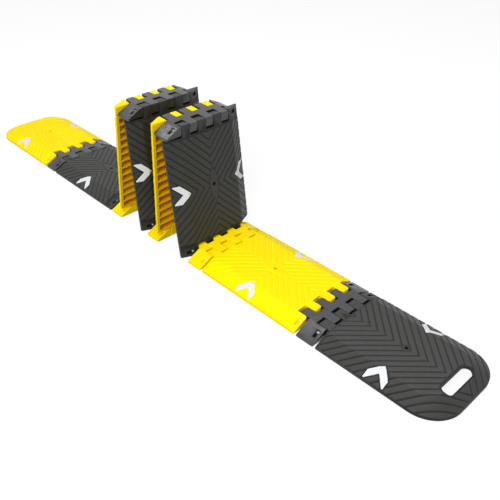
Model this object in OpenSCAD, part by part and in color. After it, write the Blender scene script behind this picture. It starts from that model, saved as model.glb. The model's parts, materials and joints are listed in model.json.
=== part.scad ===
// Portable speed bump: eight moulded panels and seven short links, pinned together as a concertina.
// X runs along the bump, Y across it (the direction of traffic) and Z up.
// The origin lies on the floor, in the middle of the bump as it stands half folded.

/* [Overall] */
// Width of the bump, measured in the direction of traffic
bump_w = 240; // [220:1:300]
// Height of the smooth crest, without the anti-slip ridges
crest_h = 27; // [25:0.5:30]
// Height of the thin lip along both long edges
lip_h = 6; // [5:0.5:8]
// Rise of the side slopes per millimetre of width
side_slope = 0.5; // [0.4:0.02:0.6]
// Radius of the gently arched crown
crown_r = 1600; // [1000:50:2500]

/* [Panels and links] */
// Distance between the two hinge axes of a panel
panel_pitch = 324; // [300:2:360]
// Distance between the two hinge axes of a link
link_pitch = 56; // [54:1:64]
// Distance from the hinge axis of an end panel to its outer edge
end_len = 332; // [310:2:360]
// Radius of the outer corners of an end panel
corner_r = 76; // [60:2:90]

/* [Hinges] */
// Diameter of the steel hinge pins
pin_d = 7; // [6:0.5:8]
// Radial play of a pin in the piece that turns on it
pin_play = 0.08; // [0.05:0.01:0.1]
// Width of one finger with its share of side play
finger_w = 25; // [24:0.5:26]
// Side play between neighbouring fingers
finger_play = 1.2; // [0.8:0.1:2]
// Reach of a finger past the hinge axis
tip_reach = 12; // [10:0.5:12.5]
// Distance from the hinge axis to the wall behind the opposite fingers
wall_reach = 18.5; // [18:0.5:20]
// Rounding of the finger tips
tip_r = 4; // [3:0.5:5]
// Half of the length of a hinge pin between its heads
pin_half = 88; // [84:1:90]

/* [Ridges and markers] */
// Spacing of the slanting ridges, square to them
ridge_pitch = 15; // [13:0.5:18]
// Width of a ridge
ridge_w = 9; // [7:0.5:10]
// Height of a ridge
ridge_h = 1.5; // [1:0.25:2]
// Thickness of a reflective arrow
marker_t = 1; // [0.6:0.1:1.2]
// Distance of the tip of an arrow from the long edge
marker_in = 46; // [40:1:50]
// Half of the span of an arrow along the bump
marker_span = 25; // [20:1:30]
// Depth of the band of an arrow along its point
marker_band = 24; // [18:1:26]

/* [Underside] */
// Thickness of the top skin over the hollow underside
skin_t = 4.5; // [4:0.5:6]
// Thickness of the cross ribs
rib_t = 4; // [3:0.5:5]
// Number of hollows along a panel
cells = 13; // [9:2:15]
// Width of the solid rim under the long edges
rim_w = 8; // [7:1:12]
// Diameter of the hole for an anchor spike in the middle of a panel
anchor_d = 10; // [8:1:14]

/* [Hand slot] */
// Length of the hand slot
slot_l = 95; // [85:1:105]
// Width of the hand slot
slot_w = 25; // [22:1:30]
// Distance of the middle of the slot from the outer edge
slot_from_end = 42; // [40:1:46]

/* [Pose] */
// Lean of panel 3 from upright, its foot to the left
lean_3 = 6.3; // [0:0.1:8]
// Lean of panel 4 from upright, its foot to the right
lean_4 = 4.25; // [0:0.05:8]
// Lean of panel 5 from upright, its foot to the left
lean_5 = 3; // [0:0.1:8]
// Lean of panel 6 from upright, its foot to the right
lean_6 = 8.2; // [3:0.1:9]

/* [Hidden] */
half = bump_w / 2;
axis_h = crest_h / 2;
pin_r = pin_d / 2;
step = ridge_pitch * sqrt(2);
// Span of the model above everything, used as the height of upright cutters
tall = 2 * crest_h;
// The ridges stop short of the finger walls
relief_gap = 3.5;
// Smooth oval around the anchor hole
pad_l = 94;
pad_w = 30;
anchor_boss_d = 24;
// Width and outer end of the pocket in which the head of a pin lies
pocket_w = 10;
pocket_end = 106;
head_d = 9;
head_t = 2.4;
// Straight rim of a pin head, and the height at which its dome narrows to the shank
head_rim = 0.8;
head_shoulder = 1.9;
// Play between the wall of a pocket and the pin head that turns in it
head_play = 0.3;
// Solid wall around the hand slot
slot_wall = 8;
// Distance of the centre of the ridge pattern of an end panel from its hinge
end_centre = 168;
overlap = 1;
// Side slopes drawn on past the crown, which trims them
slope_run = 60;
slope_top = lip_h + side_slope * slope_run;
marker_tip = half - marker_in;
// Bare band around an arrow
marker_gap = 1.5;
// Depth of the cores in the underside of a link
core_depth = 12;
// Thickness of a panel at the middle of its crown, and the flat ceiling of the hollows under it
crown_t = 6.5;
ceiling_h = crest_h - crown_t;
ceiling_edge = lip_h - skin_t + side_slope * rim_w;
ceiling_y = half - rim_w - (ceiling_h - ceiling_edge) / side_slope;
yellow = "#ffe500";
black = "#45474a";
steel = "#c9cdd2";
white = "#eef1f2";

// The bump is a chain of fifteen pieces, panels with an even index and links with an odd one
last = 14;
function span(i) = i == 0 || i == last ? end_len : i % 2 == 0 ? panel_pitch : link_pitch;
// A link tips a little where the panels on its two sides lean differently
function tip(left, right) = asin(panel_pitch * (cos(left) - cos(right)) / link_pitch);
// Slope of each piece, downwards to the right
heading = [0, 0, 0, 0, lean_3 - 90, tip(lean_3, lean_4), 90 - lean_4, 0,
           lean_5 - 90, tip(lean_5, lean_6), 90 - lean_6, 0, 0, 0, 0];
function reach(i) = i == 0 ? [0, 0] : reach(i - 1) + span(i - 1) * [cos(heading[i - 1]), -sin(heading[i - 1])];
start_x = -(reach(last)[0] + end_len) / 2;

// Puts a piece of the chain where it stands, turned about its left hinge axis
module placed(i)
    translate([start_x + reach(i)[0], 0, axis_h + reach(i)[1]])
        rotate([0, heading[i], 0])
            translate([0, 0, -axis_h])
                children();

// Extrudes an outline drawn in X and Z along Y
module along_y(y0, y1)
    translate([0, y1, 0])
        rotate([90, 0, 0])
            linear_extrude(height = y1 - y0)
                children();

// Extrudes an outline drawn in Y and Z along X
module along_x(x0, x1)
    translate([x0, 0, 0])
        rotate([90, 0, 90])
            linear_extrude(height = x1 - x0)
                children();

// Cambered block: thin lips, planar side slopes and an arched crown, raised or lowered as a whole
module camber(x0, x1, rise = 0)
    intersection() {
        along_x(x0, x1)
            polygon([[-half, 0], [-half, lip_h + rise], [-half + slope_run, slope_top + rise],
                     [half - slope_run, slope_top + rise], [half, lip_h + rise], [half, 0]]);
        translate([x0 - overlap, 0, crest_h + rise - crown_r])
            rotate([0, 90, 0])
                cylinder(r = crown_r, h = x1 - x0 + 2 * overlap, $fn = 300);
    }

// Upright block with the sloping, round-cornered end of an end panel
module rounded_end(rise = 0) {
    translate([0, -half, 0])
        cube([end_len - corner_r, bump_w, tall]);
    along_y(corner_r - half, half - corner_r)
        polygon([[end_len - corner_r, 0], [end_len, 0], [end_len, lip_h + rise],
                 [end_len - slope_run, slope_top + rise], [end_len - corner_r, slope_top + rise]]);
    for (side = [-1, 1])
        translate([end_len - corner_r, side * (half - corner_r), 0])
            rotate_extrude($fn = 72)
                polygon([[0, 0], [corner_r, 0], [corner_r, lip_h + rise],
                         [corner_r - slope_run, slope_top + rise], [0, slope_top + rise]]);
}

// Outline of a finger tip in X and Z, its axis at X = 0 and its wall to the right
module tip_outline(length) {
    translate([tip_r - tip_reach, 0])
        square([tip_reach - tip_r + length, crest_h]);
    translate([-tip_reach, tip_r])
        square([tip_reach + length, crest_h - 2 * tip_r]);
    for (z = [tip_r, crest_h - tip_r])
        translate([tip_r - tip_reach, z])
            circle(r = tip_r, $fn = 16);
}

// Fingers of the left edge of a piece: three narrow ones and the wide far corner
module fingers() {
    for (k = [-3, -1, 1])
        along_y(k * finger_w + finger_play / 2, (k + 1) * finger_w - finger_play / 2)
            tip_outline(wall_reach + overlap);
    along_y(3 * finger_w + finger_play / 2, half)
        tip_outline(wall_reach + overlap);
}

// Pin hole of an edge, with the open pocket where the head of the pin lies
module pin_bore(r) {
    translate([0, pin_half + overlap, axis_h])
        rotate([90, 0, 0])
            cylinder(r = r, h = 2 * pin_half + 2 * overlap, $fn = 20);
    translate([-pocket_w / 2, pin_half, axis_h - pocket_w / 2])
        cube([pocket_w, pocket_end - pin_half, tall]);
}

// Both edges of a piece of a given span; the right edge is the left one turned half a round
module both_edges(length) {
    children();
    translate([length, 0, 0])
        rotate([0, 0, 180])
            children();
}

// One arrow-shaped bar, its point on the X axis at a distance from the centre, 45 degrees to both sides
module chevron(point, width, arm)
    polygon([[point, 0], [point + arm, arm], [point + arm + width, arm], [point + width, 0],
             [point + arm + width, -arm], [point + arm, -arm]]);

// Herringbone: arrows on all four sides whose points look at the centre of the panel
module herringbone() {
    band = ridge_w * sqrt(2);
    for (k = [0:6], turn = [0, 180])
        rotate(turn)
            chevron(k * step - band / 2, band, half);
    for (k = [1:5], turn = [90, 270])
        rotate(turn)
            chevron(k * step - band / 2, band, half);
}

// Outline of the reflective arrows, grown by a margin
module arrows(margin = 0)
    for (turn = [90, 270])
        rotate(turn)
            intersection() {
                chevron(marker_tip - margin, marker_band + 2 * margin, half);
                translate([0, -marker_span - margin])
                    square([half - rim_w / 2, 2 * (marker_span + margin)]);
            }

// Pointed oval around the anchor hole
module pad() {
    r = (pad_l * pad_l + pad_w * pad_w) / (4 * pad_w);
    intersection_for (side = [-1, 1])
        translate([0, side * (r - pad_w / 2)])
            circle(r = r, $fn = 120);
}

// Plan of all that stands proud of the smooth surface, from x0 to x1, around the pattern centre
module relief_plan(x0, x1, centre) {
    difference() {
        intersection() {
            translate([centre, 0])
                herringbone();
            translate([x0 + relief_gap, -half])
                square([x1 - x0 - 2 * relief_gap, bump_w]);
        }
        translate([centre, 0])
            arrows(marker_gap);
        translate([centre, 0])
            pad();
    }
    translate([centre, 0])
        pad();
}

// Row of hollows between x0 and x1, with cross ribs and one rib along the middle
module hollows(x0, x1, rounded = false) {
    cell = (x1 - x0 - rib_t) / cells;
    intersection() {
        if (rounded)
            rounded_cavity();
        else
            translate([x0, -half, -overlap])
                cube([x1 - x0, bump_w, tall]);
        along_x(x0, x1)
            polygon([[rim_w - half, -overlap], [rim_w - half, ceiling_edge], [-ceiling_y, ceiling_h],
                     [ceiling_y, ceiling_h], [half - rim_w, ceiling_edge], [half - rim_w, -overlap]]);
        for (k = [0:cells - 1], side = [-1, 1])
            translate([x0 + rib_t + k * cell, side * half / 2 + side * rib_t / 2 - half / 2, -overlap])
                cube([cell - rib_t, half, tall]);
    }
}

// Moulded body between x0 and x1 with its relief, hollow from below; the children trim it
module panel_shell(x0, x1, centre, rounded = false)
    difference() {
        union() {
            trimmed(rounded)
                camber(x0, x1);
            intersection() {
                linear_extrude(height = tall)
                    relief_plan(x0, x1, centre);
                trimmed(rounded, ridge_h)
                    camber(x0, x1, ridge_h);
            }
        }
        difference() {
            hollows(x0, x1, rounded);
            children();
        }
    }

// Room for the hollows of an end panel: its own form, lowered by the skin and drawn in by the rim
module rounded_cavity()
    intersection() {
        rounded_end(-skin_t);
        linear_extrude(height = tall) {
            translate([0, rim_w - half])
                square([end_len - corner_r, bump_w - 2 * rim_w]);
            translate([0, corner_r - half])
                square([end_len - rim_w, bump_w - 2 * corner_r]);
            for (side = [-1, 1])
                translate([end_len - corner_r, side * (half - corner_r)])
                    circle(r = corner_r - rim_w, $fn = 64);
        }
    }

// Shapes a block like an end panel where that is asked for
module trimmed(rounded, rise = 0)
    if (rounded)
        intersection() {
            children();
            rounded_end(rise);
        }
    else
        children();

// Boss and hole for an anchor spike
module anchor_boss(x)
    translate([x, 0, 0])
        cylinder(d = anchor_boss_d, h = ceiling_h + overlap, $fn = 24);

module anchor_hole(x)
    translate([x, 0, -overlap])
        cylinder(d = anchor_d, h = tall, $fn = 24);

module right_bore(length)
    translate([length, 0, 0])
        rotate([0, 0, 180])
            pin_bore(pin_r);

// Panel with fingers along both edges
module full_panel()
    difference() {
        union() {
            panel_shell(wall_reach, panel_pitch - wall_reach, panel_pitch / 2)
                anchor_boss(panel_pitch / 2);
            intersection() {
                camber(-tip_reach, panel_pitch + tip_reach);
                both_edges(panel_pitch)
                    fingers();
            }
        }
        pin_bore(pin_r + pin_play);
        right_bore(panel_pitch);
        anchor_hole(panel_pitch / 2);
    }

// Outline of the hand slot, grown by a margin
module slot_outline(margin = 0) {
    straight = slot_l / 2 - slot_w / 2;
    translate([end_len - slot_from_end, 0]) {
        square([slot_w + 2 * margin, 2 * straight], center = true);
        for (side = [-1, 1])
            translate([0, side * straight])
                circle(d = slot_w + 2 * margin, $fn = 32);
    }
}

// Panel with fingers along its left edge only, drawn from its hinge to its round-cornered outer edge
module end_panel(bore_r, slotted)
    difference() {
        union() {
            panel_shell(wall_reach, end_len, end_centre, true) {
                anchor_boss(end_centre);
                if (slotted)
                    linear_extrude(height = tall)
                        slot_outline(slot_wall);
            }
            intersection() {
                camber(-tip_reach, wall_reach + overlap);
                fingers();
            }
        }
        pin_bore(bore_r);
        anchor_hole(end_centre);
        if (slotted)
            translate([0, 0, -overlap])
                linear_extrude(height = tall)
                    slot_outline();
    }

// Panels 1 to 8 from the far left end to the end with the hand slot
module panel(k)
    color(k % 2 == 1 ? yellow : black)
        placed(2 * k - 2)
            if (k == 1)
                translate([end_len, 0, 0])
                    rotate([0, 0, 180])
                        end_panel(pin_r, false);
            else if (k == 8)
                end_panel(pin_r + pin_play, true);
            else
                full_panel();

// Link k between panels k and k + 1, with fingers along both edges and a cored underside
module link(k) {
    web = link_pitch - 2 * wall_reach;
    color(k % 2 == 1 ? black : yellow)
        placed(2 * k - 1)
            difference() {
                intersection() {
                    camber(-tip_reach, link_pitch + tip_reach);
                    union() {
                        translate([wall_reach, -half, 0])
                            cube([web, bump_w, tall]);
                        both_edges(link_pitch)
                            fingers();
                    }
                }
                pin_bore(pin_r + pin_play);
                right_bore(link_pitch);
                for (j = [-3:2])
                    translate([wall_reach + rib_t, j * finger_w + rib_t / 2, -overlap])
                        cube([web - 2 * rib_t, finger_w - rib_t, core_depth + overlap]);
            }
}

// Outline of half a pin with its low domed head, from the middle of the pin outwards
module pin_outline(grip)
    polygon([[0, 0], [pin_r, 0], [pin_r, grip], [head_d / 2, grip], [head_d / 2, grip + head_rim],
             [pin_r, grip + head_shoulder], [0, grip + head_t]]);

// Pin k, fixed in the piece on its left; the piece on its right turns on it
module pin(k)
    color(steel)
        placed(k - 1)
            translate([span(k - 1), 0, axis_h]) {
                rotate([90, 0, 0])
                    rotate_extrude($fn = 20)
                        pin_outline(pin_half);
                rotate([-90, 0, 0])
                    rotate_extrude($fn = 20)
                        pin_outline(pin_half + head_play);
            }

// Pair of reflective arrows on the slopes of panel k
module markers(k) {
    centre = k == 1 ? end_len - end_centre : k == 8 ? end_centre : panel_pitch / 2;
    color(white)
        placed(2 * k - 2)
            difference() {
                intersection() {
                    translate([centre, 0, 0])
                        linear_extrude(height = tall)
                            arrows();
                    camber(0, panel_pitch, marker_t);
                }
                camber(-overlap, panel_pitch + overlap);
            }
}

for (k = [1:8])
    panel(k);
for (k = [1:7])
    link(k);
for (k = [1:14])
    pin(k);
for (k = [1:8])
    markers(k);
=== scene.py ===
import json
import math

import bmesh
import bpy
from mathutils import Matrix, Vector


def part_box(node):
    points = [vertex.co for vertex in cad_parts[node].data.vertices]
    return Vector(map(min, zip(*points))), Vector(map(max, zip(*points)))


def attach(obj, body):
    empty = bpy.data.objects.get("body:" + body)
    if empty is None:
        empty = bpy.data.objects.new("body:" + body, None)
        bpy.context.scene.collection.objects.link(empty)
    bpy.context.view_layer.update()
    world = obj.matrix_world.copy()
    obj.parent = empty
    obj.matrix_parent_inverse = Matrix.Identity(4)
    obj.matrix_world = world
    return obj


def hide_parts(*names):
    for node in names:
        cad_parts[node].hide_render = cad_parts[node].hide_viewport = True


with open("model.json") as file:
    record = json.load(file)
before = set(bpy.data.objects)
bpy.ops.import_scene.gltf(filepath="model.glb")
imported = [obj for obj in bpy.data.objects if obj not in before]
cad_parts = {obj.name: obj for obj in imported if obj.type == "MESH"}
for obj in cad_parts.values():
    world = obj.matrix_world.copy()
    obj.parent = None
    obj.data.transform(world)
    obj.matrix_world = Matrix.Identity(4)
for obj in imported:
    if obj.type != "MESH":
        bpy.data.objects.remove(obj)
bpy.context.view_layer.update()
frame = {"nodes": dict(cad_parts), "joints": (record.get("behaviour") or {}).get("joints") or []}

# Pieces of the chain
PANELS = 8
LINKS = PANELS - 1
HINGES = 2 * LINKS

# Sizes of the moulding, in metres
MM = 0.001
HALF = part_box("panel_7")[1].y
CREST_H = 27 * MM
LIP_H = 6 * MM
SIDE_SLOPE = 0.5
CROWN_R = 1600 * MM
AXIS_H = CREST_H / 2
WALL_REACH = 18.5 * MM
TIP_REACH = 12 * MM
END_LEN = 332 * MM
CORNER_R = 76 * MM
END_CENTRE = 168 * MM
PANEL_PITCH = 324 * MM
LINK_PITCH = 56 * MM

# Anti-slip relief
RIDGE_PITCH = 15 * MM
RIDGE_H = 1.5 * MM
STEP = RIDGE_PITCH * math.sqrt(2)
SAMPLES = 12
GROOVE_RUN = 5.6 * MM
PAD_L = 94 * MM
PAD_W = 30 * MM
PAD_R = (PAD_L ** 2 + PAD_W ** 2) / (4 * PAD_W)
SPOT_R = 9 * MM
ANCHOR_R = 5 * MM
HOLE_EASE = 0.1 * MM
HOLE_STEPS = 48
ARROW_TIP = 74 * MM
ARROW_BAND = 20 * MM
ARROW_SPAN = 25 * MM
SLOT_L = 95 * MM
SLOT_W = 25 * MM
SLOT_FROM_END = 42 * MM
# Open room around the hand slot for the fingers of a hand: where it starts, half of its width, the skin and
# rim that it leaves, and its flat top. These miss the faces of the CAD's own hollows by 0.1 mm or more
ROOM_FROM_END = 71.3 * MM
ROOM_HALF = 64 * MM
ROOM_SKIN = 4.7 * MM
ROOM_RIM = 8.2 * MM
ROOM_TOP = 20.3 * MM
# Lower and wider part of that room, so that no rib shows through the slot
LOW_ROOM_FROM = 71.1 * MM
LOW_ROOM_TO = 28 * MM
LOW_ROOM_HALF = 80 * MM
LOW_ROOM_TOP = 9 * MM

# Arrows: how far the cutter for their outer edge runs past their sides
ARROW_PAST = 5 * MM

# How far the relief keeps from walls, arrows and the slot, and over what length it fades
WALL_GAP = 3 * MM
ARROW_GAP = 1.5 * MM
SLOT_GAP = 3 * MM
FADE = 1.8 * MM
# The relief runs out to just inside the edge of the panel
EDGE_IN = 0.15 * MM
# Rim of the smooth oval or spot, and the groove that rings it
PAD_FADE = 1.6 * MM
PAD_RING = 0.6 * MM
RING_FLOOR = 0.45
PATCH_DEPTH = 2 * MM
PATCH_DIP = 0.6 * MM
# Solid rim around the hollows, their skin, and how far in the painted shade of the hollows reaches its full
# strength
RIM_W = 8 * MM
SKIN = 3 * MM
HOLLOW_RUN = 8 * MM
# Share of the hollows' painted shade on the side faces and the underside
SIDE_SHADE_SHARE = 0.15

# Hinge pins with their heads
PIN_R = 3.5 * MM
PIN_HALF = 88 * MM
HEAD_R = 4.7 * MM
HEAD_T = 2.6 * MM
HEAD_RIM = 0.8 * MM
HEAD_PLAY = 0.3 * MM
DOME_STEPS = 6
PIN_STEPS = 40

# Rounding of the moulded edges
EDGE_R = 0.9 * MM
LINK_EDGE_R = 1.3 * MM
EDGE_STEPS = 3
TIP_R = 4 * MM
# Fingers of a left edge, from side to side in millimetres, and their rounding seen from above
FINGERS = [(-74.4, -50.6), (-24.4, -0.6), (25.6, 49.4), (75.6, 140)]
FINGER_R = 7 * MM
FINGER_STEPS = 8
# How far the cutters for that rounding run past the sides of a finger
FINGER_PAST = 0.4 * MM
POCKET_HALF = 6 * MM
POCKET_IN = 87 * MM
POCKET_OUT = 107 * MM
# Tolerances: facets to join, corners to round, places taken as on a tip or on the top, points to merge
FLAT_ANGLE = math.radians(0.6)
SHARP_ANGLE = math.radians(40)
TIP_EASE = 0.1 * MM
TOP_EASE = 0.3 * MM
NODE_MERGE = 0.003 * MM
RELIEF_MERGE = 0.005 * MM
FINE_MERGE = 0.001 * MM
PLACE_DIGITS = 6

# The photograph's camera
CAMERA_PLACE = Vector((1.1973, -0.9024, 0.9466))
CAMERA_YAW = math.radians(135.75)
CAMERA_PITCH = math.radians(35.13)
CAMERA_ROLL = math.radians(0.63)
CAMERA_LENS = 44.37
CAMERA_SENSOR = 36.0
CAMERA_REACH = 100.0

# Stage and light
FLOOR_HALF = 12.0
FLOOR_DROP = 0.2 * MM
FLOOR_BOUNCE = (165, 165, 165)
FLOOR_GLOW = 0.85
WORLD_LIGHT = 0.4
LIGHT_AIM = (0.0, 0.0, 0.1)
# Name, place, width, power, and whether the lamp shows as a highlight
LAMPS = [("overhead", (0.2, 0.5, 2.6), 2.4, 36.0, True),
         ("far_end", (-1.3, -0.1, 2.1), 0.5, 4.0, True),
         ("near_side", (1.5, -2.2, 1.9), 1.6, 52.0, False),
         ("low_side", (0.5, -2.6, 0.9), 1.2, 22.0, False)]
SHARP_SHADING = math.radians(32)


def hinge_axis(k):
    """Place of hinge k, from the frame's joints."""
    return next(Vector(j["pos_m"]) for j in frame["joints"] if j["name"] == f"hinge_{k}")


def placement(start, end):
    """Turns a piece from its own frame, its left hinge axis over the origin, to where it stands."""
    along = end - start
    slope = math.atan2(-along.z, along.x)
    return (Matrix.Translation(start) @ Matrix.Rotation(slope, 4, "Y")
            @ Matrix.Translation((0, 0, -AXIS_H)))


def panel_placement(k):
    """Place of panel k. Both end panels are drawn from their hinge outwards."""
    if k == 1:
        return Matrix.Translation((hinge_axis(1).x, 0, 0)) @ Matrix.Rotation(math.pi, 4, "Z")
    if k == PANELS:
        return Matrix.Translation((hinge_axis(HINGES).x, 0, 0))
    return placement(hinge_axis(2 * k - 2), hinge_axis(2 * k - 1))


def link_placement(k):
    return placement(hinge_axis(2 * k - 1), hinge_axis(2 * k))


# Form of the moulded surface


def rim_distance(x, y, is_end):
    """Distance inwards from the long edges and, on an end panel, from its round-cornered outer end."""
    side = HALF - abs(y)
    if not is_end:
        return side
    past = x - (END_LEN - CORNER_R)
    out = abs(y) - (HALF - CORNER_R)
    if past > 0 and out > 0:
        return CORNER_R - math.hypot(past, out)
    return min(side, END_LEN - x)


def smooth_height(x, y, is_end):
    """Height of the panel without its relief: side slopes under an arched crown."""
    crown = CREST_H - CROWN_R + math.sqrt(CROWN_R ** 2 - y ** 2)
    return min(crown, LIP_H + SIDE_SLOPE * rim_distance(x, y, is_end))


def pad_distance(u, v, is_end):
    """Distance outside the smooth oval around the anchor hole, or the round spot on an end panel."""
    if is_end:
        return math.hypot(u, v) - SPOT_R
    return math.hypot(u, abs(v) + PAD_R - PAD_W / 2) - PAD_R


def arrow_distance(u, v):
    """Distance outside the two arrows on the side slopes."""
    depth = abs(v) - abs(u)
    band = max(ARROW_TIP - depth, depth - ARROW_TIP - ARROW_BAND) / math.sqrt(2)
    return max(band, abs(u) - ARROW_SPAN)


def slot_distance(x, y):
    """Distance outside the hand slot."""
    reach = SLOT_L / 2 - SLOT_W / 2
    return math.hypot(x - (END_LEN - SLOT_FROM_END), max(abs(y) - reach, 0)) - SLOT_W / 2


def ridge_profile(u, v, is_end):
    """Wide crests and narrow grooves, from 0 in a groove to 1 on a crest. Arrows look at the centre of a
    panel from all four sides, and on an end panel all point at its outer end."""
    turns = (u + abs(v) if is_end else abs(u) - abs(v)) / STEP
    from_groove = abs(turns - math.floor(turns) - 0.5) * STEP
    return 1 - (1 - min(from_groove / GROOVE_RUN, 1)) ** 2


def smooth_step(t):
    t = min(max(t, 0), 1)
    return t * t * (3 - 2 * t)


def relief_height(x, y, region):
    """Height of ridges and oval over the smooth surface, 0 where the moulding is bare."""
    u = x - region["centre"]
    outside_pad = pad_distance(u, y, region["is_end"])
    gaps = [x - region["low"] - WALL_GAP, arrow_distance(u, y) - ARROW_GAP]
    if not region["is_end"]:
        gaps.append(region["high"] - WALL_GAP - x)
    if region["has_slot"]:
        gaps.append(slot_distance(x, y) - SLOT_GAP)
    ring = RING_FLOOR + (1 - RING_FLOOR) * smooth_step((outside_pad - PAD_RING) / FADE)
    ridge = ring * smooth_step(min(gaps) / FADE) * ridge_profile(u, y, region["is_end"])
    pad = smooth_step(-outside_pad / PAD_FADE)
    return RIDGE_H * max(ridge, pad)


def pull_inside(co, is_end):
    """Moves a point that lies past the edge of a panel to just inside that edge."""
    past = co.x - (END_LEN - CORNER_R)
    out = abs(co.y) - (HALF - CORNER_R)
    if is_end and past > 0 and out > 0:
        scale = min((CORNER_R - EDGE_IN) / math.hypot(past, out), 1)
        co.x = END_LEN - CORNER_R + past * scale
        co.y = math.copysign(HALF - CORNER_R + out * scale, co.y)
        return
    co.y = math.copysign(min(abs(co.y), HALF - EDGE_IN), co.y)
    if is_end:
        co.x = min(co.x, END_LEN - EDGE_IN)


def split_along_ridges(bm, region):
    """Splits the cells of the relief along its ridges, so that these keep straight edges."""
    rising = []
    falling = []
    for face in bm.faces:
        middle = face.calc_center_median()
        sense = -middle.y if region["is_end"] else (middle.x - region["centre"]) * middle.y
        (rising if sense > 0 else falling).append(face)
    first = bm.faces[:][0]
    diagonal = first.verts[2].co - first.verts[0].co
    methods = ("FIXED", "ALTERNATE") if diagonal.x * diagonal.y > 0 else ("ALTERNATE", "FIXED")
    bmesh.ops.triangulate(bm, faces=rising, quad_method=methods[0])
    bmesh.ops.triangulate(bm, faces=falling, quad_method=methods[1])


def relief_patch(region):
    """Closed slab that carries the relief and dips into the smooth moulding where there is none."""
    pitch = STEP / SAMPLES
    half_x = math.ceil(max(region["centre"] - region["low"], region["high"] - region["centre"]) / pitch)
    half_y = math.ceil(HALF / pitch)
    bm = bmesh.new()
    size = Matrix.Diagonal((2 * half_x * pitch, 2 * half_y * pitch, 1, 1))
    bmesh.ops.create_grid(bm, x_segments=2 * half_x, y_segments=2 * half_y, size=0.5,
                          matrix=Matrix.Translation((region["centre"], 0, 0)) @ size)
    bm.faces.ensure_lookup_table()
    inside = {v: rim_distance(v.co.x, v.co.y, region["is_end"]) > 0 for v in bm.verts}
    outer = [f for f in bm.faces if not any(inside[v] for v in f.verts)]
    bmesh.ops.delete(bm, geom=outer, context="FACES")
    split_along_ridges(bm, region)
    for v in bm.verts:
        pull_inside(v.co, region["is_end"])
    height = {v: relief_height(v.co.x, v.co.y, region) for v in bm.verts}
    bare = [f for f in bm.faces if all(height[v] == 0 for v in f.verts)]
    bmesh.ops.delete(bm, geom=bare, context="FACES")
    for v in bm.verts:
        v.co.z = smooth_height(v.co.x, v.co.y, region["is_end"]) + (height[v] or -PATCH_DIP)
    kept = {v: v.co.z for v in bm.verts}
    place = {(round(v.co.x, PLACE_DIGITS), round(v.co.y, PLACE_DIGITS)): z for v, z in kept.items()}
    for v in kept:
        v.co.z = smooth_height(v.co.x, v.co.y, region["is_end"]) - PATCH_DEPTH
    grown = bmesh.ops.extrude_face_region(bm, geom=bm.faces[:], use_keep_orig=True)["geom"]
    for v in grown:
        if isinstance(v, bmesh.types.BMVert):
            v.co.z = place[round(v.co.x, PLACE_DIGITS), round(v.co.y, PLACE_DIGITS)]
    bmesh.ops.recalc_face_normals(bm, faces=bm.faces[:])
    return bm


def local_copy(node, place):
    """The CAD node's mesh, merged, in the piece's own frame."""
    bm = bmesh.new()
    bm.from_mesh(frame["nodes"][node].data)
    bm.transform(place.inverted())
    bmesh.ops.remove_doubles(bm, verts=bm.verts[:], dist=NODE_MERGE)
    return bm


def flatten_relief(bm, is_end):
    """Lowers the plain flat-topped relief of the CAD node to the smooth surface."""
    for v in bm.verts:
        if v.co.z - smooth_height(v.co.x, v.co.y, is_end) > RIDGE_H / 2:
            v.co.z -= RIDGE_H
    bmesh.ops.remove_doubles(bm, verts=bm.verts[:], dist=RELIEF_MERGE)
    bmesh.ops.dissolve_degenerate(bm, edges=bm.edges[:], dist=FINE_MERGE)


def is_outer_edge(edge, is_end, span, hole_x):
    """Whether an edge is a clear corner of the moulding's top outline or of its finger tips."""
    if len(edge.link_faces) != 2 or not edge.is_convex or edge.calc_face_angle(0) < SHARP_ANGLE:
        return False
    middle = (edge.verts[0].co + edge.verts[1].co) / 2
    tip = TIP_REACH - TIP_R - TIP_EASE
    if middle.x < -tip or middle.x > span + tip:
        return True
    by_axis = min(abs(middle.x), abs(middle.x - span)) < POCKET_HALF
    in_pocket = by_axis and POCKET_IN < abs(middle.y) < POCKET_OUT
    in_hole = math.hypot(middle.x - hole_x, middle.y) < ANCHOR_R + MM
    on_top = abs(middle.z - smooth_height(middle.x, middle.y, is_end)) < TOP_EASE
    return on_top and not in_pocket and not in_hole


def rounded_body(bm, is_end, span, hole_x, radius):
    """Joins flat facets and rounds the outer corners."""
    bmesh.ops.dissolve_limit(bm, angle_limit=FLAT_ANGLE, use_dissolve_boundaries=False,
                             verts=bm.verts[:], edges=bm.edges[:])
    corners = [e for e in bm.edges if is_outer_edge(e, is_end, span, hole_x)]
    bmesh.ops.bevel(bm, geom=corners, offset=radius, offset_type="OFFSET", segments=EDGE_STEPS,
                    profile=0.5, affect="EDGES", clamp_overlap=True, material=-1)


def as_object(name, bm):
    """Turns a bmesh into an object in the scene."""
    mesh = bpy.data.meshes.new(name)
    bm.to_mesh(mesh)
    bm.free()
    piece = bpy.data.objects.new(name, mesh)
    bpy.context.scene.collection.objects.link(piece)
    return piece


def applied(piece, kind, settings):
    """Applies one modifier to a piece."""
    step = piece.modifiers.new("step", kind)
    for name, value in settings.items():
        setattr(step, name, value)
    bpy.context.view_layer.update()
    result = piece.evaluated_get(bpy.context.evaluated_depsgraph_get())
    mesh = bpy.data.meshes.new_from_object(result)
    piece.modifiers.clear()
    piece.data = mesh


def combined(piece, tool, operation):
    """Joins a tool to a piece, or cuts it off, and removes the tool."""
    applied(piece, "BOOLEAN", {"operation": operation, "solver": "EXACT", "object": tool})
    bpy.data.objects.remove(tool)


def smoothed(piece):
    """Shades a finished form smoothly, with clear edges sharp and large faces flat."""
    piece.data.shade_smooth()
    piece.data.set_sharp_from_angle(angle=SHARP_SHADING)
    applied(piece, "WEIGHTED_NORMAL", {"mode": "FACE_AREA", "weight": 50, "keep_sharp": True})


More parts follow.
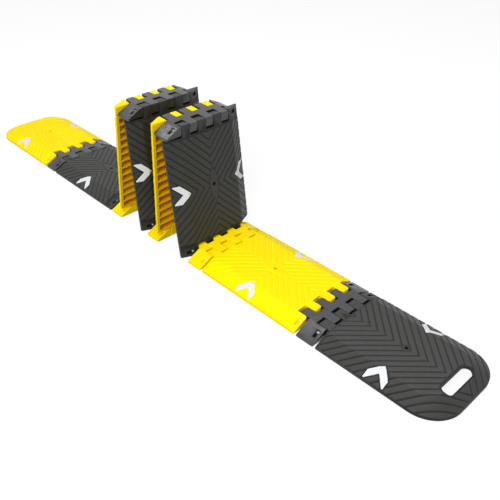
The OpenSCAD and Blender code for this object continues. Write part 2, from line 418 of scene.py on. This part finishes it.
def hole_cutter(centre):
    bm = bmesh.new()
    radius = ANCHOR_R + HOLE_EASE
    bmesh.ops.create_cone(bm, cap_ends=True, segments=HOLE_STEPS, radius1=radius, radius2=radius,
                          depth=4 * CREST_H, matrix=Matrix.Translation((centre, 0, 0)))
    return as_object("hole_cutter", bm)


def prisms(name, outlines, low, high):
    """One object of upright prisms with the given outlines."""
    bm = bmesh.new()
    for outline in outlines:
        face = bm.faces.new([bm.verts.new((x, y, low)) for x, y in outline])
        grown = bmesh.ops.extrude_face_region(bm, geom=[face], use_keep_orig=True)["geom"]
        bmesh.ops.translate(bm, verts=[v for v in grown if isinstance(v, bmesh.types.BMVert)],
                            vec=(0, 0, high - low))
    bmesh.ops.recalc_face_normals(bm, faces=bm.faces[:])
    return as_object(name, bm)


def finger_cutter(span):
    """Waste outside the rounded fingers of a left edge or, given the span, of a right edge."""
    sense = -1 if span else 1
    outlines = []
    for ends in FINGERS:
        for y, inwards in zip(ends, (1, -1)):
            waste = [(-TIP_REACH - MM, y * MM - inwards * FINGER_PAST),
                     (-TIP_REACH - MM, y * MM + inwards * FINGER_R)]
            for i in range(FINGER_STEPS + 1):
                turn = math.radians(90 * i / FINGER_STEPS)
                waste.append((FINGER_R - TIP_REACH - FINGER_R * math.cos(turn),
                              y * MM + inwards * FINGER_R * (1 - math.sin(turn))))
            waste.append((FINGER_R - TIP_REACH, y * MM - inwards * FINGER_PAST))
            outlines.append([(span + sense * x, sense * v) for x, v in waste])
    return prisms("finger_cutter", outlines, -MM, CREST_H + MM)


def slot_room():
    """Room under the skin around the hand slot, for the fingers of a hand."""
    bend = END_LEN - (ROOM_TOP + ROOM_SKIN - LIP_H) / SIDE_SLOPE
    rim_top = LIP_H + SIDE_SLOPE * ROOM_RIM - ROOM_SKIN
    outline = [(END_LEN - ROOM_FROM_END, -MM), (END_LEN - ROOM_FROM_END, ROOM_TOP), (bend, ROOM_TOP),
               (END_LEN - ROOM_RIM, rim_top), (END_LEN - ROOM_RIM, -MM)]
    room = prisms("slot_room", [outline], -ROOM_HALF, ROOM_HALF)
    room.data.transform(Matrix.Rotation(math.pi / 2, 4, "X"))
    return room


def low_room():
    """Lower and wider part of that room, past which the floor shows through the slot."""
    near, far = END_LEN - LOW_ROOM_FROM, END_LEN - LOW_ROOM_TO
    outline = [(near, -LOW_ROOM_HALF), (far, -LOW_ROOM_HALF), (far, LOW_ROOM_HALF), (near, LOW_ROOM_HALF)]
    return prisms("low_room", [outline], -MM, LOW_ROOM_TOP)


def mark_wear_and_painted_shade(mesh, region):
    """Stores for the finish how deep each point lies in a groove of the relief, and how much painted shade
    it gets: full in the hollows below, a share on the side faces and the underside.
    """
    groove = mesh.attributes.new("groove", "FLOAT", "POINT")
    hollow = mesh.attributes.new("hollow", "FLOAT", "POINT")
    for v, in_groove, in_hollow in zip(mesh.vertices, groove.data, hollow.data):
        x, y, z = v.co
        edge = rim_distance(x, y, region["is_end"])
        surface = smooth_height(x, math.copysign(min(abs(y), HALF), y), region["is_end"])
        past_wall = region["low"] + FADE < x < region["high"] - FADE
        if past_wall and z > surface - MM and arrow_distance(x - region["centre"], y) > ARROW_GAP:
            in_groove.value = 1 - min(max((z - surface) / RIDGE_H, 0), 1)
        # Painted shade: rising to full inside the hollows below the skin, and a fixed share on the side
        # faces and the underside
        if past_wall and edge > RIM_W - MM and z < surface - SKIN:
            in_hollow.value = SIDE_SHADE_SHARE + (1 - SIDE_SHADE_SHARE) * smooth_step(z / HOLLOW_RUN)
        elif edge < EDGE_R / 2 or z < EDGE_R / 2:
            in_hollow.value = SIDE_SHADE_SHARE


def panel_form(node, k, region):
    """Finished mesh of a panel in its own frame, from the CAD node of panel k."""
    bm = local_copy(node, panel_placement(k))
    flatten_relief(bm, region["is_end"])
    rounded_body(bm, region["is_end"], PANEL_PITCH, region["centre"], EDGE_R)
    body = as_object(f"form_{node}", bm)
    combined(body, as_object("relief", relief_patch(region)), "UNION")
    combined(body, hole_cutter(region["centre"]), "DIFFERENCE")
    if region["has_slot"]:
        combined(body, slot_room(), "DIFFERENCE")
        combined(body, low_room(), "DIFFERENCE")
    else:
        combined(body, finger_cutter(0 if region["is_end"] else PANEL_PITCH), "DIFFERENCE")
    smoothed(body)
    mark_wear_and_painted_shade(body.data, region)
    return body


def link_form(node, k):
    """Finished mesh of a link in its own frame, from the CAD node of link k."""
    bm = local_copy(node, link_placement(k))
    rounded_body(bm, False, LINK_PITCH, LINK_PITCH / 2, LINK_EDGE_R)
    link = as_object(f"form_{node}", bm)
    combined(link, finger_cutter(0), "DIFFERENCE")
    smoothed(link)
    return link


def arrow_form(node, k):
    """The pair of arrows of panel k, trimmed to the width of the real film."""
    arrows = as_object(f"form_{node}", local_copy(node, panel_placement(k)))
    outer = ARROW_TIP + ARROW_BAND
    far = ARROW_SPAN + ARROW_PAST
    centre = END_CENTRE if k in (1, PANELS) else PANEL_PITCH / 2
    outlines = [[(centre, side * outer), (centre + far, side * (outer + far)),
                 (centre + far, side * 2 * HALF), (centre - far, side * 2 * HALF),
                 (centre - far, side * (outer + far))] for side in (-1, 1)]
    combined(arrows, prisms("arrow_waste", outlines, -MM, 2 * CREST_H), "DIFFERENCE")
    return arrows


def pin_form():
    """A hinge pin in the frame of its joint, with a low domed head at both ends."""
    dome = [(HEAD_R * math.sin(a), HEAD_RIM + (HEAD_T - HEAD_RIM) * math.cos(a))
            for a in (math.radians(90 * i / DOME_STEPS) for i in range(DOME_STEPS + 1))]
    half = dome + [(HEAD_R, 0), (PIN_R, 0)]
    outline = [(r, -PIN_HALF - t) for r, t in half]
    outline += [(r, PIN_HALF + HEAD_PLAY + t) for r, t in reversed(half)]
    bm = bmesh.new()
    points = [bm.verts.new((r, y, 0)) for r, y in outline]
    edges = [bm.edges.new(pair) for pair in zip(points, points[1:])]
    bmesh.ops.spin(bm, geom=points + edges, cent=(0, 0, 0), axis=(0, 1, 0), dvec=(0, 0, 0),
                   angle=2 * math.pi, steps=PIN_STEPS, use_merge=True)
    bmesh.ops.remove_doubles(bm, verts=bm.verts[:], dist=FINE_MERGE)
    bmesh.ops.recalc_face_normals(bm, faces=bm.faces[:])
    pin = as_object("form_pin", bm)
    smoothed(pin)
    return pin


# Finishes


class Socket:
    """A value in a material. Arithmetic on it adds Math nodes."""

    def __init__(self, finish, link):
        self.finish = finish
        self.link = link

    def __add__(self, other):
        return self.finish.math("ADD", self, other)

    def __mul__(self, other):
        return self.finish.math("MULTIPLY", self, other)

    def __sub__(self, other):
        return self.finish.math("SUBTRACT", self, other)

    def __rsub__(self, other):
        return self.finish.math("SUBTRACT", other, self)

    __radd__ = __add__


class Finish:
    """A material built from nodes on the piece's own Object coordinates."""

    def __init__(self, name):
        self.material = bpy.data.materials.new(name)
        self.material.use_nodes = True
        self.nodes = self.material.node_tree.nodes
        self.nodes.clear()
        self.place = self.node("ShaderNodeTexCoord", output="Object")

    def node(self, kind, settings=None, inputs=None, output=0):
        """Adds a node, sets it up, connects its inputs and returns one of its outputs."""
        added = self.nodes.new(kind)
        for name, value in (settings or {}).items():
            setattr(added, name, value)
        for name, value in (inputs or {}).items():
            if isinstance(value, Socket):
                self.material.node_tree.links.new(value.link, added.inputs[name])
            else:
                added.inputs[name].default_value = value
        return Socket(self, added.outputs[output])

    def math(self, operation, first, second=0.0, clamp=False):
        settings = {"operation": operation, "use_clamp": clamp}
        return self.node("ShaderNodeMath", settings, {0: first, 1: second})

    def spread(self, value, low, high, out_low=0.0, out_high=1.0):
        """Maps a value from one range to another, smoothly and within the limits."""
        limits = {"From Min": low, "From Max": high, "To Min": out_low, "To Max": out_high}
        return self.node("ShaderNodeMapRange", {"interpolation_type": "SMOOTHSTEP"},
                         {"Value": value, **limits})

    def noise(self, size, detail=3.0, roughness=0.55, place=None):
        """Noise whose features are about as large as size, in metres."""
        return self.node("ShaderNodeTexNoise", {"noise_dimensions": "3D"},
                         {"Vector": place or self.place, "Scale": 1 / size, "Detail": detail,
                          "Roughness": roughness}, "Fac")

    def mix(self, share, first, second):
        return self.node("ShaderNodeMix", {"data_type": "RGBA"}, {0: share, 6: first, 7: second}, 2)

    def bump(self, height, strength, distance, normal=None):
        inputs = {"Height": height, "Strength": strength, "Distance": distance}
        if normal:
            inputs["Normal"] = normal
        return self.node("ShaderNodeBump", None, inputs)

    def surface(self, **inputs):
        """Ends the material with a Principled shader; the names are its sockets, with _ for a space."""
        named = {name.replace("_", " "): value for name, value in inputs.items()}
        return self.end(self.node("ShaderNodeBsdfPrincipled", None, named))

    def end(self, shader):
        output = self.nodes.new("ShaderNodeOutputMaterial")
        self.material.node_tree.links.new(shader.link, output.inputs["Surface"])
        return self.material


def shade(red, green, blue):
    """Linear colour from the values that a screen shows, 0 to 255."""
    linear = [((c / 255 + 0.055) / 1.055) ** 2.4 if c > 10 else c / 255 / 12.92 for c in (red, green, blue)]
    return (*linear, 1.0)


def moulded_plastic(name, colours, roughness, gloss, sink=0.0):
    """Moulded plastic: fine grain, faint flow marks, rubbed crests, painted shade in the grooves (lighter
    on yellow, to offset their shading) and painted shade in the hollows.
    """
    finish = Finish(name)
    groove = finish.node("ShaderNodeAttribute", {"attribute_name": "groove"}, None, "Fac")
    hollow = finish.node("ShaderNodeAttribute", {"attribute_name": "hollow"}, None, "Fac")
    flow = finish.noise(60 * MM, 4.0, 0.6)
    blotch = finish.noise(9 * MM, 3.0)
    grain = finish.noise(0.9 * MM, 2.0)
    drawn_out = {"Vector": finish.place, "Scale": (1.0, 9.0, 3.0), "Rotation": (0.0, 0.0, 0.5)}
    scratch_place = finish.node("ShaderNodeMapping", None, drawn_out)
    scratch = finish.spread(finish.noise(7 * MM, 5.0, 0.7, scratch_place), 0.60, 0.72)
    rubbed = finish.spread(blotch, 0.4, 0.75) * (1 - groove)
    # Painted shade in the grooves, patchy: darker on black; on yellow the groove colour is lighter and
    # paints out the grooves' own shading
    painted_groove_shade = finish.spread(groove, 0.0, 0.65) * finish.spread(blotch, 0.25, 0.6, 0.75, 1.0)
    colour = finish.mix(finish.spread(flow, 0.3, 0.7, 0.0, 0.3), colours["base"], colours["worn"])
    colour = finish.mix(rubbed * 0.3, colour, colours["worn"])
    colour = finish.mix(painted_groove_shade, colour, colours["groove"])
    # Painted shade: a deeper orange in the hollows below, and a share of it on the side faces and
    # undersides
    colour = finish.mix(hollow, colour, colours["hollow"])
    rough = roughness + (flow - 0.5) * 0.12 + scratch * 0.08 - rubbed * 0.04 + painted_groove_shade * 0.2
    normal = finish.bump(grain, 0.25, 0.15 * MM)
    normal = finish.bump(scratch, 0.12, 0.1 * MM, normal)
    if sink:
        normal = finish.bump(finish.noise(24 * MM, 1.5), sink, 2 * MM, normal)
    return finish.surface(Base_Color=colour, Roughness=rough, Normal=normal, Specular_IOR_Level=gloss)


def arrow_film(name):
    """White reflective film: a fine lattice of cells under a clear face, a little scuffed."""
    finish = Finish(name)
    cells = finish.node("ShaderNodeTexVoronoi", {"feature": "DISTANCE_TO_EDGE"},
                        {"Vector": finish.place, "Scale": 1 / (2.4 * MM), "Randomness": 0.15}, "Distance")
    lattice = finish.spread(cells, 0.02, 0.12)
    scuff = finish.spread(finish.noise(6 * MM, 4.0, 0.65), 0.5, 0.75)
    colour = finish.mix(lattice, shade(196, 201, 205), shade(222, 225, 228))
    colour = finish.mix(scuff * 0.35, colour, shade(196, 198, 196))
    normal = finish.bump(lattice, 0.15, 0.1 * MM)
    return finish.surface(Base_Color=colour, Roughness=0.28 + scuff * 0.25, Normal=normal, Coat_Weight=0.3)


def zinc_steel(name):
    """Bright zinc-plated steel with fine turning marks."""
    finish = Finish(name)
    mottle = finish.noise(2.5 * MM, 4.0, 0.6)
    marks = finish.node("ShaderNodeTexWave", {"wave_type": "BANDS", "bands_direction": "Y"},
                        {"Vector": finish.place, "Scale": 1 / (3 * MM), "Distortion": 2.0,
                         "Detail": 2.0}, "Fac")
    colour = finish.mix(mottle, shade(214, 216, 220), shade(238, 238, 236))
    normal = finish.bump(marks, 0.08, 0.05 * MM)
    return finish.surface(Base_Color=colour, Metallic=0.6, Roughness=0.3 + mottle * 0.2, Normal=normal)


def stand(form, name, place, body, node, finish):
    """Puts a copy of a finished form where its CAD node stands and lets it ride on its body."""
    mesh = form.data.copy()
    mesh.transform(place)
    mesh.name = name
    mesh.materials.clear()
    mesh.materials.append(finish)
    piece = bpy.data.objects.new(name, mesh)
    bpy.context.scene.collection.objects.link(piece)
    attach(piece, body)
    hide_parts(node)


def region_of(is_end, has_slot):
    """Limits of the relief of a panel in its own frame."""
    if is_end:
        return {"low": WALL_REACH, "high": END_LEN, "centre": END_CENTRE,
                "is_end": True, "has_slot": has_slot}
    return {"low": WALL_REACH, "high": PANEL_PITCH - WALL_REACH, "centre": PANEL_PITCH / 2,
            "is_end": False, "has_slot": False}


def build_panels(yellow, black):
    full = panel_form("panel_2", 2, region_of(False, False))
    forms = {1: panel_form("panel_1", 1, region_of(True, False)),
             PANELS: panel_form(f"panel_{PANELS}", PANELS, region_of(True, True))}
    for k in range(1, PANELS + 1):
        is_yellow = k % 2 == 1
        stand(forms.get(k, full), f"ridged_panel_{k}", panel_placement(k), f"panel_{k}", f"panel_{k}",
              yellow if is_yellow else black)
    for form in [full, *forms.values()]:
        bpy.data.objects.remove(form)


def build_links(yellow, black):
    form = link_form("link_1", 1)
    for k in range(1, LINKS + 1):
        is_black = k % 2 == 1
        stand(form, f"rounded_link_{k}", link_placement(k), f"link_{k}", f"link_{k}",
              black if is_black else yellow)
    bpy.data.objects.remove(form)


def build_pins():
    """Fourteen pins, each fixed in the piece on its left."""
    steel = zinc_steel("zinc_plated_steel")
    form = pin_form()
    for k in range(1, HINGES + 1):
        body = f"panel_{(k + 1) // 2}" if k % 2 else f"link_{k // 2}"
        stand(form, f"domed_pin_{k}", Matrix.Translation(hinge_axis(k)), body, f"pin_{k}", steel)
    bpy.data.objects.remove(form)


def build_arrows():
    """Sixteen arrows of white film, two on each panel."""
    film = arrow_film("reflective_film")
    for k in range(1, PANELS + 1):
        node = f"markers_{k}"
        form = arrow_form(node, k)
        stand(form, f"film_arrows_{k}", panel_placement(k), f"panel_{k}", node, film)
        bpy.data.objects.remove(form)


# Stage, light and camera


def paper_white():
    """Pale floor that the camera sees as white paper with the object's soft shadow on it."""
    finish = Finish("white_paper")
    path = finish.node("ShaderNodeLightPath", output="Is Camera Ray")
    glossy = finish.node("ShaderNodeLightPath", output="Is Glossy Ray")
    seen = finish.math("ADD", path, glossy, clamp=True)
    colour = finish.mix(seen, shade(*FLOOR_BOUNCE), shade(255, 255, 255))
    paper = finish.node("ShaderNodeBsdfDiffuse", None, {"Color": colour, "Roughness": 1.0})
    glow = finish.node("ShaderNodeEmission", None, {"Color": (1.0, 1.0, 1.0, 1.0), "Strength": 1.0})
    return finish.end(finish.node("ShaderNodeMixShader", None, {0: seen * FLOOR_GLOW, 1: paper, 2: glow}))


def build_floor():
    bm = bmesh.new()
    bmesh.ops.create_grid(bm, x_segments=1, y_segments=1, size=FLOOR_HALF)
    floor = as_object("floor", bm)
    floor.location.z = -FLOOR_DROP
    floor.data.materials.append(paper_white())


def build_light():
    """White surroundings, a broad lamp overhead, one over the far end and two from the near side."""
    world = bpy.data.worlds.new("studio")
    bpy.context.scene.world = world
    world.use_nodes = True
    nodes, links = world.node_tree.nodes, world.node_tree.links
    nodes.clear()
    path = nodes.new("ShaderNodeLightPath")
    seen = nodes.new("ShaderNodeMath")
    seen.operation = "MAXIMUM"
    dim = nodes.new("ShaderNodeBackground")
    dim.inputs["Strength"].default_value = WORLD_LIGHT
    white = nodes.new("ShaderNodeBackground")
    white.inputs["Color"].default_value = (1.0, 1.0, 1.0, 1.0)
    mix = nodes.new("ShaderNodeMixShader")
    output = nodes.new("ShaderNodeOutputWorld")
    links.new(path.outputs["Is Camera Ray"], seen.inputs[0])
    links.new(path.outputs["Is Glossy Ray"], seen.inputs[1])
    links.new(seen.outputs[0], mix.inputs[0])
    links.new(dim.outputs[0], mix.inputs[1])
    links.new(white.outputs[0], mix.inputs[2])
    links.new(mix.outputs[0], output.inputs["Surface"])
    for name, place, size, power, shows in LAMPS:
        lamp = bpy.data.lights.new(name, "AREA")
        lamp.shape = "DISK"
        lamp.size = size
        lamp.energy = power
        holder = bpy.data.objects.new(name, lamp)
        holder.location = place
        holder.visible_glossy = shows
        holder.rotation_euler = (Vector(LIGHT_AIM) - Vector(place)).to_track_quat("-Z", "Y").to_euler()
        bpy.context.scene.collection.objects.link(holder)


def build_camera():
    camera = bpy.data.objects.new("camera", bpy.data.cameras.new("camera"))
    camera.data.sensor_width = CAMERA_SENSOR
    camera.data.lens = CAMERA_LENS
    camera.data.clip_end = CAMERA_REACH
    camera.matrix_world = (Matrix.Translation(CAMERA_PLACE)
                           @ Matrix.Rotation(CAMERA_YAW - math.pi / 2, 4, "Z")
                           @ Matrix.Rotation(math.pi / 2 - CAMERA_PITCH, 4, "X")
                           @ Matrix.Rotation(CAMERA_ROLL, 4, "Z"))
    bpy.context.scene.collection.objects.link(camera)
    bpy.context.scene.camera = camera


bpy.context.scene.view_settings.view_transform = "Standard"
# The groove colours are painted light and shade in the grooves: darker on black, lighter on yellow to
# offset their shading. The hollow colours are painted shade in the hollows and on side faces and undersides
YELLOW = {"base": shade(255, 223, 0), "worn": shade(255, 227, 0), "groove": shade(255, 233, 0),
          "hollow": shade(255, 170, 0)}
BLACK = {"base": shade(37, 38, 36), "worn": shade(48, 49, 46), "groove": shade(11, 11, 11),
         "hollow": shade(38, 37, 36)}
LINK_BLACK = {"base": shade(30, 30, 34), "worn": shade(40, 40, 47), "groove": shade(24, 24, 27),
              "hollow": shade(36, 35, 34)}
yellow_plastic = moulded_plastic("yellow_moulded_plastic", YELLOW, 0.5, 0.1)
black_plastic = moulded_plastic("black_moulded_plastic", BLACK, 0.5, 0.42)
glossy_black = moulded_plastic("black_smooth_plastic", LINK_BLACK, 0.3, 0.75, 0.6)
build_panels(yellow_plastic, black_plastic)
build_links(yellow_plastic, glossy_black)
build_pins()
build_arrows()
build_floor()
build_light()
build_camera()
